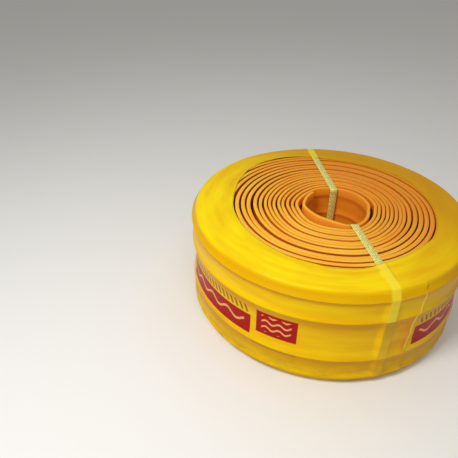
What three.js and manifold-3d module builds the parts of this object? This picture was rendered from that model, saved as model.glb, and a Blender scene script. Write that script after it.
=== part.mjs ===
// A coil of PVC waterstop: one long ribbed strip wound on itself and lying on its edge, with an open bore.
// Two plastic straps run through the bore and round the coil, and film wraps its outside and both rims.
// Millimetres, +Z up. The origin is on the floor, under the centre of the coil's outer wall.

import * as THREE from 'three';
import { mergeVertices } from 'three/addons/utils/BufferGeometryUtils.js';
import Module from 'manifold-3d';

const wasm = await Module();
wasm.setup();

// Strip: its width is the coil's height, and its outermost turn has four ribs that show through the film.
const stripWidth = 200;
const rimRadius = 251.5;
const rimRound = 4;
const ribHeight = 7.5; // how far the ribs stand out past the rims
const edgePanelDip = 3; // how far the face dips between an edge rib and an inner rib
const middlePanelDip = 4.5; // and between the two inner ribs
const edgeRibInset = 16;
const innerRibInset = 58;
const ribFoot = 19; // from the middle of an inner rib to where the middle panel starts
const ribThickness = 6.4; // through the strip at a rib
const lipThickness = 4.8; // and at its edges

// Winding: counterclockwise outward from the strip's free end, which lies in the bore.
const innerEndAngle = THREE.MathUtils.degToRad(142);
const boreRadius = 60;
const boreCentre = new THREE.Vector2(19, -1.2); // the turns were pulled off centre
// The bore isn't quite round: [degrees, share of its radius].
const boreOutline = [
  [142, 1.027], [159, 1.003], [175, 0.993], [187, 1.013], [197, 1.017], [206, 0.98], [221, 0.94],
  [245, 0.917], [258, 0.927], [270, 0.977], [279, 1.043], [288, 1.11], [300, 1.143], [310, 1.103],
  [328, 1.008], [343, 0.942], [359, 0.9], [372, 0.93], [388, 0.947], [406, 0.972], [420, 1.005], [452, 1.043],
  [476, 1.053], [488, 1.057], [502, 1.027],
];
// The second turn stands off the first: [part of a turn from the free end, share of the bore's radius].
const standOff = [
  [0, 0.08], [0.06, 0.142], [0.106, 0.2], [0.161, 0.22], [0.217, 0.317], [0.272, 0.403], [0.328, 0.377],
  [0.383, 0.253], [0.42, 0.17], [0.47, 0.12], [0.6, 0.128], [0.85, 0.08], [1, 0.08],
];
// How far a turn has come from the second turn's line to the outermost turn's: [turns, share].
const growth = [[1, 0], [9.1, 0.353], [14.6, 0.669], [20, 1]];
const valleyDepth = 25; // open valleys lie between the turns, narrower where the ribs stand
const valleyLeast = 0.6; // where two turns touch, the valley between them is no wider than a line
// On the front left the turns lie in pairs: an even phase moves a turn out and an odd one moves it in.
const pairAngle = THREE.MathUtils.degToRad(-118);
const pairSpread = THREE.MathUtils.degToRad(58);
const pairShift = 1.6;
const pairStart = [2.2, 3.6]; // turns over which the pairing sets in, and over which it ends
const pairEnd = [15.2, 16.2];
const pairPhase = [
  [2.3, -2], [6.3, 2], [9.3, 4], [12.3, 7], [14.3, 8], [15.3, 9], [21, 15],
];
const pocketStart = 0.05; // the wide gap beside the first turn is open from end to end, in parts of a turn
const pocketEnd = 0.42;

// The first turn's inner face: slight ribs level with those outside, and slightly hollow between.
const boreRelief = 0.8;
const boreRibHalfWidth = 3;

// Film and straps.
const filmThickness = 0.6;
const filmEdgeRadius = 195;
const strapWidth = 14;
const strapThickness = 0.8;
const clearance = 0.3;

// Each strap lies in an upright plane through two points: where it leaves the bore and where it crosses the rim.
const straps = [
  { name: 'strap_front', atBore: new THREE.Vector2(50.4, -62.6), atRim: new THREE.Vector2(114.5, -222) },
  { name: 'strap_back', atBore: new THREE.Vector2(7.4, 59.2), atRim: new THREE.Vector2(-45.5, 205.5) },
];

// Smoothness of the round shapes.
const wallSegments = 56;
const boreSegments = 40;
const freeEndFace = 0.997; // the strip's cut end closes the last step round the bore, in parts of a turn
const stepsPerTurn = 26;
const pocketSteps = 12;

// Heights that follow from the sizes above. The floor is z = 0.
const rollBottom = filmThickness + clearance;
const rollTop = rollBottom + stripWidth;
const middle = (rollBottom + rollTop) / 2;
const reach = 20; // how far a cutting body runs past the faces it cuts

const toSolid = (geometry) => {
  const bare = geometry.clone();
  bare.deleteAttribute('normal');
  bare.deleteAttribute('uv');
  const merged = mergeVertices(bare);
  const corners = merged.index.array;
  const kept = [];
  for (let i = 0; i < corners.length; i += 3) {
    const [a, b, c] = [corners[i], corners[i + 1], corners[i + 2]];
    if (a !== b && b !== c && c !== a) kept.push(a, b, c);
  }
  return new wasm.Manifold(new wasm.Mesh({
    numProp: 3,
    vertProperties: new Float32Array(merged.attributes.position.array),
    triVerts: new Uint32Array(kept),
  }));
};

const toMesh = (solid, name, material) => {
  const result = solid.getMesh();
  const geometry = new THREE.BufferGeometry();
  geometry.setAttribute('position', new THREE.BufferAttribute(new Float32Array(result.vertProperties), 3));
  geometry.setIndex(new THREE.BufferAttribute(new Uint32Array(result.triVerts), 1));
  geometry.computeVertexNormals();
  const mesh = new THREE.Mesh(geometry, material);
  mesh.name = name;
  return mesh;
};

// A body turned about an upright axis from [radius, height] points that start and end on the axis.
const turned = (profile, segments) => {
  const points = profile.map(([radius, height]) => new THREE.Vector2(radius, height));
  return new THREE.LatheGeometry(points, segments).rotateX(Math.PI / 2);
};

// A body through rings of points, each [x, y, z] and in the same order, closed by a fan at both ends.
const lofted = (rings) => {
  const count = rings[0].length;
  const corners = rings.flat(2);
  const faces = [];
  for (let ring = 0; ring < rings.length - 1; ring += 1) {
    for (let i = 0; i < count; i += 1) {
      const next = (i + 1) % count;
      const [a, b] = [ring * count + i, ring * count + next];
      faces.push(a, b, b + count, a, b + count, a + count);
    }
  }
  const last = (rings.length - 1) * count;
  for (let i = 1; i < count - 1; i += 1) faces.push(0, i + 1, i, last, last + i, last + i + 1);
  const geometry = new THREE.BufferGeometry();
  geometry.setAttribute('position', new THREE.Float32BufferAttribute(corners, 3));
  geometry.setIndex(faces);
  return toSolid(geometry);
};

// A value between the rows of a table of [position, value].
const fromTable = (table, position) => {
  let row = 1;
  while (row < table.length - 1 && table[row][0] < position) row += 1;
  const [[from, low], [to, high]] = [table[row - 1], table[row]];
  return low + (high - low) * THREE.MathUtils.clamp((position - from) / (to - from), 0, 1);
};

const directionAt = (turn) => {
  const angle = innerEndAngle + turn * Math.PI * 2;
  return new THREE.Vector2(Math.cos(angle), Math.sin(angle));
};

// How far the strip's inner face is from the bore's centre. The first turn's last part passes outside its start.
const boreRadiusAt = (turn) => {
  const part = turn - Math.floor(turn);
  const start = THREE.MathUtils.radToDeg(innerEndAngle);
  const outside = turn < 1 ? fromTable(standOff, 0) * THREE.MathUtils.smoothstep(part, 0.8, 1) : 0;
  return boreRadius * (fromTable(boreOutline, start + part * 360) + outside);
};

const pairAt = (turn) => {
  const angle = innerEndAngle + turn * Math.PI * 2;
  const aside = THREE.MathUtils.euclideanModulo(angle - pairAngle + Math.PI, Math.PI * 2) - Math.PI;
  const here = THREE.MathUtils.smoothstep(turn, ...pairStart) * (1 - THREE.MathUtils.smoothstep(turn, ...pairEnd));
  return pairShift * here * Math.exp(-((aside / pairSpread) ** 2)) * Math.cos(Math.PI * fromTable(pairPhase, turn));
};

// The middle of the strip, seen from above, after a number of turns from its free end.
const stripAt = (turn) => {
  const ray = directionAt(turn);
  const off = turn < 1 ? 0 : fromTable(standOff, turn - Math.floor(turn));
  const fromBore = boreRadiusAt(turn) + lipThickness / 2 + off * boreRadius;
  const inner = boreCentre.clone().addScaledVector(ray, fromBore);
  const outer = ray.clone().multiplyScalar(rimRadius + ribHeight - ribThickness / 2);
  const middleOfStrip = inner.lerp(outer, turn < 1 ? 0 : fromTable(growth, turn));
  return middleOfStrip.addScaledVector(ray, pairAt(turn));
};

// The gap beyond a place on the strip, up to the next turn: its middle, and how wide it is.
const gapAt = (turn) => {
  const ray = directionAt(turn);
  const inner = stripAt(turn);
  const outer = stripAt(turn + 1);
  const width = Math.max(outer.clone().sub(inner).dot(ray) - lipThickness, valleyLeast);
  return { ray, width, between: inner.lerp(outer, 0.5) };
};

// The coil's outer wall, moved out by an offset, between two end faces. A sagging wall dips between the ribs, and
// a taut one bridges them. All knees keep their heights, so that skins of different offsets never cross.
const wallBody = (offset, bottomFace, topFace, sagging) => {
  const rimKnee = rimRound * (1 - Math.SQRT1_2);
  const ribRadius = rimRadius + ribHeight;
  const knees = [
    [rimRadius - rimKnee, rimKnee],
    [rimRadius, rimRound],
    [ribRadius, edgeRibInset],
  ];
  if (sagging) knees.push([ribRadius - edgePanelDip, (edgeRibInset + innerRibInset) / 2]);
  knees.push([ribRadius, innerRibInset]);
  if (sagging) knees.push([ribRadius - middlePanelDip, innerRibInset + ribFoot]);
  const lower = knees.map(([radius, rise]) => [radius + offset, rollBottom + rise]);
  const upper = knees.map(([radius, rise]) => [radius + offset, rollTop - rise]).reverse();
  const faceRadius = rimRadius - rimRound + offset;
  return toSolid(turned([
    [0, bottomFace], [faceRadius, bottomFace], ...lower, ...upper, [faceRadius, topFace], [0, topFace],
  ], wallSegments));
};

const plainCylinder = (radius, segments) => toSolid(turned(
  [[0, -reach], [radius, -reach], [radius, rollTop + reach], [0, rollTop + reach]], segments));

// A column with the bore's outline, from [how far outside the outline, height] steps.
const boreColumn = (steps) => {
  const parts = Array.from({ length: boreSegments }, (_, i) => i / boreSegments);
  parts.push(freeEndFace);
  return lofted(steps.map(([offset, height]) => parts.map((part) => {
    const corner = boreCentre.clone().addScaledVector(directionAt(part), boreRadiusAt(part) + offset);
    return [corner.x, corner.y, height];
  })));
};

// What the bore takes away: lips at both ends, ribs that stand in, and hollow faces between.
const boreBody = () => {
  const half = [[0, edgeRibInset - boreRibHalfWidth * 2], [-boreRelief, edgeRibInset]];
  half.push([boreRelief, edgeRibInset + boreRibHalfWidth], [boreRelief, innerRibInset - boreRibHalfWidth]);
  half.push([-boreRelief, innerRibInset], [boreRelief, innerRibInset + boreRibHalfWidth]);
  const lower = half.map(([offset, rise]) => [offset, rollBottom + rise]);
  const upper = half.map(([offset, rise]) => [offset, rollTop - rise]).reverse();
  return boreColumn([[0, -reach], ...lower, ...upper, [0, rollTop + reach]]);
};

const plainBoreColumn = (inset) => boreColumn([[-inset, -reach], [-inset, rollTop + reach]]);

// The valley between neighbouring turns, cut into an end face and as wide as the gap there. Side is 1 on top.
const valleyCutter = (face, side) => {
  const overshoot = 2; // the cutter's open side stands proud of the face
  const rings = [];
  for (let step = 1; ; step += 1) {
    const { ray, width, between } = gapAt(step / stepsPerTurn);
    if (between.length() > filmEdgeRadius + lipThickness) break;
    const narrow = Math.max(width - (ribThickness - lipThickness), valleyLeast);
    const corner = (aside, height) => {
      const spot = between.clone().addScaledVector(ray, aside);
      return [spot.x, spot.y, height];
    };
    const ring = [
      corner(-width / 2, face + side * overshoot),
      corner(width / 2, face + side * overshoot),
      corner(narrow / 2, face - side * valleyDepth),
      corner(-narrow / 2, face - side * valleyDepth),
    ];
    rings.push(side > 0 ? ring : ring.reverse());
  }
  return lofted(rings);
};

// The wide gap beside the first turn, from one end face to the other.
const pocket = () => {
  const inside = [];
  const outside = [];
  for (let step = 0; step <= pocketSteps; step += 1) {
    const { ray, width, between } = gapAt(pocketStart + ((pocketEnd - pocketStart) * step) / pocketSteps);
    inside.push(between.clone().addScaledVector(ray, -width / 2));
    outside.push(between.clone().addScaledVector(ray, width / 2));
  }
  const shape = new THREE.Shape([...inside, ...outside.reverse()]);
  const depth = stripWidth + 2 * reach;
  const prism = new THREE.ExtrudeGeometry(shape, { depth, bevelEnabled: false });
  return toSolid(prism.translate(0, 0, rollBottom - reach));
};

// An upright slab along a strap's line, from the middle of the bore to past the rim.
const strapSlab = (strap, width, bottom, top) => {
  const along = strap.atRim.clone().sub(strap.atBore).normalize();
  const start = boreCentre.clone().sub(strap.atBore).dot(along);
  const from = strap.atBore.clone().addScaledVector(along, start);
  const length = rimRadius * 2;
  const middleOfSlab = from.clone().addScaledVector(along, length / 2);
  const slab = new THREE.BoxGeometry(length, width, top - bottom);
  slab.rotateZ(along.angle());
  slab.translate(middleOfSlab.x, middleOfSlab.y, (bottom + top) / 2);
  return toSolid(slab);
};

const fullSlab = (strap, width) => strapSlab(strap, width, -reach, rollTop + reach);

// Roll: the weight of the coil beds the straps into its lower end, so that end has a shallow channel for each.
const makeRoll = () => {
  let roll = wallBody(0, rollBottom, rollTop, true).subtract(boreBody()).subtract(pocket());
  roll = roll.subtract(valleyCutter(rollTop, 1)).subtract(valleyCutter(rollBottom, -1));
  const aboveStraps = wallBody(0, rollBottom + strapThickness + clearance, rollTop, true);
  for (const strap of straps) {
    const channel = strapSlab(strap, strapWidth + 2 * clearance, -reach, middle).subtract(aboveStraps);
    roll = roll.subtract(channel);
  }
  return roll;
};

// Strap: a closed loop between two skins round the coil, as wide as the strap.
const makeStrap = (strap) => {
  const outside = clearance + strapThickness;
  const outer = wallBody(outside, rollBottom, rollTop + outside, false)
    .subtract(plainBoreColumn(boreRelief + outside));
  const inner = wallBody(clearance, rollBottom + strapThickness, rollTop + clearance, false)
    .subtract(plainBoreColumn(boreRelief + clearance));
  return outer.subtract(inner).intersect(fullSlab(strap, strapWidth));
};

// Film: a skin round the outer wall and both rims, raised where a strap runs under it, open inside its edge.
const makeFilm = () => {
  const overStrap = 2 * clearance + strapThickness;
  let outer = wallBody(clearance + filmThickness, 0, rollTop + clearance + filmThickness, true);
  let inner = wallBody(clearance, filmThickness, rollTop + clearance, true);
  for (const strap of straps) {
    const innerWidth = strapWidth + 2 * clearance;
    const raisedOuter = wallBody(overStrap + filmThickness, 0, rollTop + overStrap + filmThickness, false);
    const raisedInner = wallBody(overStrap, filmThickness, rollTop + overStrap, false);
    outer = outer.add(raisedOuter.intersect(fullSlab(strap, innerWidth + 2 * filmThickness)));
    inner = inner.add(raisedInner.intersect(fullSlab(strap, innerWidth)));
  }
  return outer.subtract(inner).subtract(plainCylinder(filmEdgeRadius, wallSegments));
};

const stripMaterial = new THREE.MeshStandardMaterial({ color: 0xe0913a, roughness: 0.5, metalness: 0 });
const filmMaterial = new THREE.MeshStandardMaterial({ color: 0xf0c81e, roughness: 0.3, metalness: 0 });
const strapMaterial = new THREE.MeshStandardMaterial({ color: 0xd9cf6c, roughness: 0.35, metalness: 0 });

const waterstop = new THREE.Group();
waterstop.add(toMesh(makeRoll(), 'waterstop_roll', stripMaterial));
waterstop.add(toMesh(makeFilm(), 'film_wrap', filmMaterial));
for (const strap of straps) {
  waterstop.add(toMesh(makeStrap(strap), strap.name, strapMaterial));
}

export default waterstop;
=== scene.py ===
# A coil of PVC waterstop: the wound strip, its two plastic straps and its printed film wrap.
# Sizes are worked out in millimetres and turned to metres where a mesh is made.
import math
import bpy
import numpy as np
from mathutils import Matrix, Vector


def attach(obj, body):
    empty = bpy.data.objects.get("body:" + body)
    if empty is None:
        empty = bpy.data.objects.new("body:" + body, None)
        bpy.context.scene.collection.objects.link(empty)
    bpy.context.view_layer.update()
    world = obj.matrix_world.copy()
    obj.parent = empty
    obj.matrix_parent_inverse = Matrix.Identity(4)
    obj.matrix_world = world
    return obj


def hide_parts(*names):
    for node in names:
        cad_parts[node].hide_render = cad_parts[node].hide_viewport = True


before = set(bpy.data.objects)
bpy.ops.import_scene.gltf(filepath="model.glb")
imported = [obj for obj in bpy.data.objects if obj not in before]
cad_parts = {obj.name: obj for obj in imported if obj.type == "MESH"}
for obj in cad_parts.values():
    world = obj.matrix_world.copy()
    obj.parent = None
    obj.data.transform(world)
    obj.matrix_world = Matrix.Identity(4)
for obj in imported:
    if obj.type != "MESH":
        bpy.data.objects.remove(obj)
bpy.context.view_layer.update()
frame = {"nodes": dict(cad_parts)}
scene = bpy.context.scene
print("frame loaded:", ", ".join(frame["nodes"]))


def linearColour(code):  # sRGB hex to linear RGBA
    parts = [int(code[i:i + 2], 16) / 255 for i in (0, 2, 4)]
    return (*[c / 12.92 if c <= 0.04045 else ((c + 0.055) / 1.055) ** 2.4 for c in parts], 1.0)


def addNode(tree, kind, links=None, **settings):
    # links maps a socket, by name or number, to a value, a hex colour, an output, or a node (first output)
    node = tree.nodes.new(kind)
    for name, value in settings.items():
        setattr(node, name, value)
    for name, value in (links or {}).items():
        if isinstance(value, str):
            value = linearColour(value)
        if isinstance(value, bpy.types.Node):
            value = next(socket for socket in value.outputs if socket.enabled)
        if isinstance(value, bpy.types.NodeSocket):
            tree.links.new(value, node.inputs[name])
        else:
            node.inputs[name].default_value = value
    return node


def newMaterial(name):
    material = bpy.data.materials.new(name)
    material.use_nodes = True
    material.node_tree.nodes.clear()
    return material, material.node_tree


def addPatterns(tree, place, patterns):
    # one random pattern for each row of a table: its scale, detail, roughness and distortion
    made = {}
    for name, (scale, detail, roughness, distortion) in patterns.items():
        at = addNode(tree, "ShaderNodeMapping", {"Vector": place, "Scale": scale})
        made[name] = addNode(tree, "ShaderNodeTexNoise", {
            "Vector": at, "Scale": 1.0, "Detail": detail, "Roughness": roughness, "Distortion": distortion})
    return made


def smoothStep(value, low, high):
    part = np.clip((value - low) / (high - low), 0, 1)
    return part * part * (3 - 2 * part)


def waveNoise(across, along, seed, cellsAcross=0):
    # soft random hills of about -1 to 1, one hill per unit; repeats every cellsAcross units if that is set
    table = np.random.default_rng(seed).uniform(-1, 1, (512, 512))
    i, j = np.floor(across).astype(int), np.floor(along).astype(int)
    s, t = across - i, along - j
    s, t = s * s * (3 - 2 * s), t * t * (3 - 2 * t)
    period = cellsAcross or 512
    i0, i1 = i % period, (i + 1) % period
    j0, j1 = j % 512, (j + 1) % 512
    near = table[i0, j0] * (1 - t) + table[i0, j1] * t
    far = table[i1, j0] * (1 - t) + table[i1, j1] * t
    return near * (1 - s) + far * s


def roundTable(pairs, angle):
    # smooth value at an angle in degrees, from [angle, value] pairs once round
    angles = np.array([pair[0] for pair in pairs], float)
    values = np.array([pair[1] for pair in pairs], float)
    order = np.argsort(angles % 360)
    angles, values = (angles % 360)[order], values[order]
    angles = np.concatenate([angles - 360, angles, angles + 360])
    values = np.tile(values, 3)
    slope = np.gradient(values, angles)
    at = np.asarray(angle, float) % 360
    k = np.clip(np.searchsorted(angles, at, side="right") - 1, 0, len(angles) - 2)
    gap = angles[k + 1] - angles[k]
    u = (at - angles[k]) / gap
    return ((2 * u ** 3 - 3 * u ** 2 + 1) * values[k] + (u ** 3 - 2 * u ** 2 + u) * gap * slope[k]
            + (3 * u ** 2 - 2 * u ** 3) * values[k + 1] + (u ** 3 - u ** 2) * gap * slope[k + 1])


def makePiece(name, points, faces, smoothAngle=50):
    mesh = bpy.data.meshes.new(name)
    mesh.from_pydata([tuple(point) for point in points], [], faces)
    mesh.update()
    mesh.shade_smooth()
    mesh.set_sharp_from_angle(angle=math.radians(smoothAngle))
    piece = bpy.data.objects.new(name, mesh)
    scene.collection.objects.link(piece)
    return piece


def setAttributes(mesh, attributes):
    for title, values in attributes.items():
        layer = mesh.attributes.new(title, "FLOAT", "POINT")
        layer.data.foreach_set("value", np.asarray(values, np.float32).ravel())


# Camera: the photograph's viewpoint, 35.6 mm lens on a 36 mm wide square frame.
cameraValues = {
    "lens": 35.55,
    "place": (0.0, -0.7666, 0.6434),
    "right": (0.96910, 0.24666, 0.00170),
    "up": (-0.13948, 0.54229, 0.82853),
    "back": (0.20345, -0.80317, 0.55994),
}
cameraData = bpy.data.cameras.new("photoCamera")
cameraData.lens = cameraValues["lens"]
cameraData.sensor_width = 36
cameraData.clip_start = 0.01
camera = bpy.data.objects.new("photoCamera", cameraData)
axes = Matrix((cameraValues["right"], cameraValues["up"], cameraValues["back"])).transposed()
camera.matrix_world = Matrix.Translation(cameraValues["place"]) @ axes.to_4x4()
scene.collection.objects.link(camera)
scene.camera = camera
print("camera placed")


# Flexible PVC, extruded: satin, waxy and faintly see-through at its thin edges, so hollows glow red-brown.
# the faces between the turns also carry a painted shade
stripFinish = {
    "face": "FFA630",
    "faceDeep": "F08C20",
    # painted shade for the faces in the gaps between the turns
    "between": "B2440C",
    # lip and lipDeep: a painted highlight on the lips' lit tops, with a random tone between the two
    "lip": "FFC23A",
    "lipDeep": "F9A428",
    # painted shade for the coil's far side
    "farSideShade": "DB7E14",
    "dust": "F2C67E",
    "roughness": 0.45,
    # per metre along and across the strip
    "patterns": {
        "mottle": ((12, 40, 1), 4.0, 0.6, 0.0),
        "tone": ((9, 0, 1), 3.0, 0.5, 0.0),  # lips vary from one hand's breadth to the next
        "dust": ((60, 160, 1), 6.0, 0.7, 0.0),
        "dieLines": ((3, 1000 / 2.2, 1), 2.0, 0.5, 0.0),  # faint lines 2.2 mm apart that the die leaves
    },
}


def makeStripMaterial():
    f = stripFinish
    material, tree = newMaterial("extrudedSoftPvc")
    hints = ("along", "across", "edge", "turn")
    along, across, edge, number = (
        addNode(tree, "ShaderNodeAttribute", attribute_name=hint).outputs["Fac"] for hint in hints)
    place = addNode(tree, "ShaderNodeCombineXYZ", {0: along, 1: across})
    pattern = addPatterns(tree, place, f["patterns"])
    face = addNode(tree, "ShaderNodeMix", {
        0: pattern["mottle"], 6: f["face"], 7: f["faceDeep"]}, data_type="RGBA")
    # painted red-brown shade on the faces in the gaps between the turns; none on the innermost turn's face
    gapShadeShare = addNode(tree, "ShaderNodeMapRange", {
        "Value": number, "From Min": 1.05, "From Max": 1.5, "To Max": 0.85})
    gapShaded = addNode(tree, "ShaderNodeMix", {0: gapShadeShare, 6: face, 7: f["between"]}, data_type="RGBA")
    # lips are painted paler, a painted highlight on their lit tops, and vary in tone along the strip
    lipHighlightMask = addNode(tree, "ShaderNodeMapRange", {"Value": edge, "From Min": 0.84, "From Max": 0.99})
    tone = addNode(tree, "ShaderNodeMapRange", {"Value": pattern["tone"], "From Min": 0.35, "From Max": 0.68})
    lip = addNode(tree, "ShaderNodeMix", {0: tone, 6: f["lip"], 7: f["lipDeep"]}, data_type="RGBA")
    lipHighlighted = addNode(tree, "ShaderNodeMix", {0: lipHighlightMask, 6: gapShaded, 7: lip}, data_type="RGBA")
    # the turns on the far side are painted duller and browner, a painted shade, as less light reaches them
    objectAt = addNode(tree, "ShaderNodeTexCoord")
    spot = addNode(tree, "ShaderNodeSeparateXYZ", {0: objectAt.outputs["Object"]})
    sideways = addNode(tree, "ShaderNodeMath", {
        0: spot.outputs[0], 1: 0.8, 2: spot.outputs[1]}, operation="MULTIPLY_ADD")
    farShadeShare = addNode(tree, "ShaderNodeMapRange", {
        "Value": sideways, "From Min": -0.12, "From Max": 0.16, "To Max": 0.75})
    farShaded = addNode(tree, "ShaderNodeMix", {0: farShadeShare, 6: lipHighlighted, 7: f["farSideShade"]}, data_type="RGBA")
    dust = addNode(tree, "ShaderNodeMapRange", {
        "Value": pattern["dust"], "From Min": 0.6, "From Max": 0.8, "To Max": 0.1})
    dusty = addNode(tree, "ShaderNodeMix", {0: dust, 6: farShaded, 7: f["dust"]}, data_type="RGBA")
    bump = addNode(tree, "ShaderNodeBump", {
        "Height": pattern["dieLines"], "Strength": 0.25, "Distance": 0.0004})
    dull = addNode(tree, "ShaderNodeMapRange", {
        "Value": pattern["mottle"], "From Min": 0.3, "From Max": 0.7,
        "To Min": f["roughness"] - 0.06, "To Max": f["roughness"] + 0.12})
    shader = addNode(tree, "ShaderNodeBsdfPrincipled", {
        "Base Color": dusty, "Roughness": dull, "IOR": 1.45, "Normal": bump, "Specular IOR Level": 0.3,
        "Subsurface Weight": 0.2, "Subsurface Radius": (0.006, 0.0014, 0.0004), "Subsurface Scale": 1.0})
    addNode(tree, "ShaderNodeOutputMaterial", {"Surface": shader})
    return material


# Strip: one long ribbed band, wound counterclockwise outward from its free end in the bore.
windingValues = {
    "turns": 20.0,
    "stepsPerTurn": 76,
    "innerEndAngle": 142.0,  # degrees
    "boreCentre": (19.0, -1.2),
    "boreOutline": [
        (142, 61.6), (159, 60.2), (175, 59.6), (-173, 60.8), (-163, 61), (-154, 58.8), (-139, 56.4),
        (-115, 55), (-102, 55.6), (-90, 58.6), (-81, 62.6), (-72, 66.6), (-60, 68.6), (-50, 66.2),
        (-32, 60.5), (-17, 56.5), (-1, 54), (12, 55.8), (28, 56.8), (46, 58.3), (60, 60.3), (92, 62.6),
        (116, 63.2), (128, 63.4)],
    # how far the second turn stands off the first one, by part of a turn from the inner end
    "standOff": [
        (0.0, 6.4), (0.06, 9.0), (0.106, 12.0), (0.161, 13.2), (0.217, 19.0), (0.272, 24.2), (0.328, 22.6),
        (0.383, 15.2), (0.42, 10.2), (0.47, 7.4), (0.6, 7.8), (0.85, 6.4)],
    # how far a turn has come from the second turn's line to the outer wall
    "growth": [(1.0, 0.0), (9.1, 0.353), (14.6, 0.669), (20.0, 1.0)],
    "outerRadius": 255.3,
    # on the near side the turns touch in pairs: an even phase moves a turn out, an odd one moves it in
    "nearPairs": {"angle": -108.0, "spread": 58.0},
    "farPairs": {"angle": 78.0, "spread": 50.0},
    "pairPhase": [
        (2.3, -2), (3.3, -1), (4.3, 0), (5.3, 1), (6.3, 2), (9.3, 4), (10.3, 5), (11.3, 6), (12.3, 7),
        (14.3, 8), (15.3, 9), (21, 15)],
    "lipSway": 0.9,
    "lipPlump": 0.34,  # the lips of the turns from about the tenth outwards are thicker by this share
    "rimPull": 11.2,  # how far the last turn's lips are drawn in round the rim
    "panelHollow": 2.9,  # how far its faces are drawn in between the ribs
    "middleHollow": 5.2,  # and in the middle of its width
    "strapLift": 1.2,  # how far the lower lips stand up where a strap passes under them
    "unevenness": 0.7,
    "seed": 11,
}
sectionValues = {
    "width": 200.0,
    "lipThickness": 5.4,
    "webThickness": 3.2,
    "ribThickness": 6.4,
    # the lips' edge band is painted paler, a painted highlight
    "lipHighlightBand": 3.0,  # the paler edge of the lips
    "ribInsets": (16.0, 58.0),  # from either edge of the strip
    "ribCrest": 3.6,
    "ribFlank": 2.4,
    "edgeRound": 0.4,
    "hollowPoints": (30.0, 44.0, 70.0, 84.0),  # plain points in the web, two inside each rib
    "bottom": 0.9,  # the strip stands this far above the floor, on the film
}
strapValues = {
    "width": 14.0,
    "thickness": 0.8,
    "clearance": 0.3,
    "edgeRound": 0.25,
    "strap_front": {"atBore": (50.4, -62.6), "atRim": (114.5, -222.0), "standIn": 2.6},
    "strap_back": {"atBore": (7.4, 59.2), "atRim": (-45.5, 205.5), "standIn": 3.4},
    # radii of the wall that the straps lie on: at the ribs, the rim, and the knee where an end begins
    "wallRadii": (258.9, 251.6, 247.4),
    "turnsTop": 200.9,
    "lowest": 1.3,  # height of a strap's middle under the coil
    "cornerRadii": (5.0, 3, 3, 5, 8, 8, 5, 3, 3, 5.0),
}


def strapLine(name):
    start = np.array(strapValues[name]["atBore"], float)
    end = np.array(strapValues[name]["atRim"], float)
    return start, (end - start) / np.linalg.norm(end - start)


def offStrap(name, x, y):
    # distance of plan points from a strap's line, and how far along it they are from the bore's edge
    start, along = strapLine(name)
    dx, dy = x - start[0], y - start[1]
    return np.abs(dx * along[1] - dy * along[0]), dx * along[0] + dy * along[1]


def plumpness(turn):
    # share by which a turn's lips are thicker than those of the inner turns
    v = windingValues
    swelling = smoothStep(turn, 8.0, 11.0)
    return v["lipPlump"] * swelling * (1 - smoothStep(turn, v["turns"] - 3, v["turns"] - 2))


def windingPath():
    v = windingValues
    lip = sectionValues["lipThickness"]
    count = int(round(v["turns"] * v["stepsPerTurn"])) + 1
    turn = np.arange(count) / v["stepsPerTurn"]
    angle = v["innerEndAngle"] + 360 * turn
    ray = np.stack([np.cos(np.radians(angle)), np.sin(np.radians(angle))], 1)
    first = roundTable(v["boreOutline"], angle) + lip / 2
    off = roundTable([(360 * part, value) for part, value in v["standOff"]], 360 * (turn % 1))
    # the first turn's last part passes outside its start
    close = v["standOff"][0][1] * smoothStep(turn, 0.8, 1.0)
    growthTurns, growthShares = np.array(v["growth"]).T
    growth = np.interp(turn, growthTurns, growthShares)
    for _ in range(4):  # a few passes round off its corners
        growth[1:-1] = np.where(turn[1:-1] > 1.3, (growth[:-2] + growth[1:-1] + growth[2:]) / 3, growth[1:-1])
    # the last turns step out quickly and then keep their distance, so the outer wall is round
    pitchShare = growthShares[-1] - np.interp(v["turns"] - 1, growthTurns, growthShares)
    back = v["turns"] - turn
    stair = 1 - pitchShare * (np.ceil(back - 1e-9) - smoothStep(1 - (back - 1e-9) % 1, 0.0, 0.14))
    held = smoothStep(turn, v["turns"] - 2.6, v["turns"] - 1.2)
    growth = growth + (np.minimum(stair, 1) - growth) * held
    centre = np.array(v["boreCentre"], float)
    inner = centre + ray * (first + np.where(turn < 1, close, off))[:, None]
    path = inner + (ray * v["outerRadius"] - inner) * np.where(turn < 1, 0, growth)[:, None]
    # turns move in or out until they touch in pairs, and are a little uneven
    phaseTurns, phases = np.array(v["pairPhase"], float).T
    phase = np.interp(turn, phaseTurns, phases)
    farNumber = np.round(turn - ((v["farPairs"]["angle"] - v["innerEndAngle"]) % 360) / 360)
    pair = np.zeros(count)
    for zone, sign in (("nearPairs", np.cos(math.pi * phase)), ("farPairs", np.cos(math.pi * farNumber))):
        aside = (angle - v[zone]["angle"] + 180) % 360 - 180
        pair += np.exp(-(np.abs(aside) / v[zone]["spread"]) ** 4) * sign
    pair *= smoothStep(turn, 2.2, 3.2) * (1 - smoothStep(turn, 15.6, 16.6))
    outward = np.sum(path * ray, 1)
    ahead = np.interp(turn + 0.5, turn, outward) - np.interp(turn - 0.5, turn, outward)
    room = np.clip(ahead - lip * (1 + plumpness(turn)), 0, 5) / 2
    calm = smoothStep(turn, 1.8, 2.6) * (1 - smoothStep(turn, 16.5, 18.3)) * (1 - 0.8 * np.abs(pair))
    slow = waveNoise(turn * 2.7, turn * 0 + 0.5, v["seed"])
    quick = waveNoise(turn * 6.1, turn * 0 + 9.5, v["seed"])
    path = path + ray * (room * pair + v["unevenness"] * calm * (slow + 0.6 * quick))[:, None]
    return path, turn, pair


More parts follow.
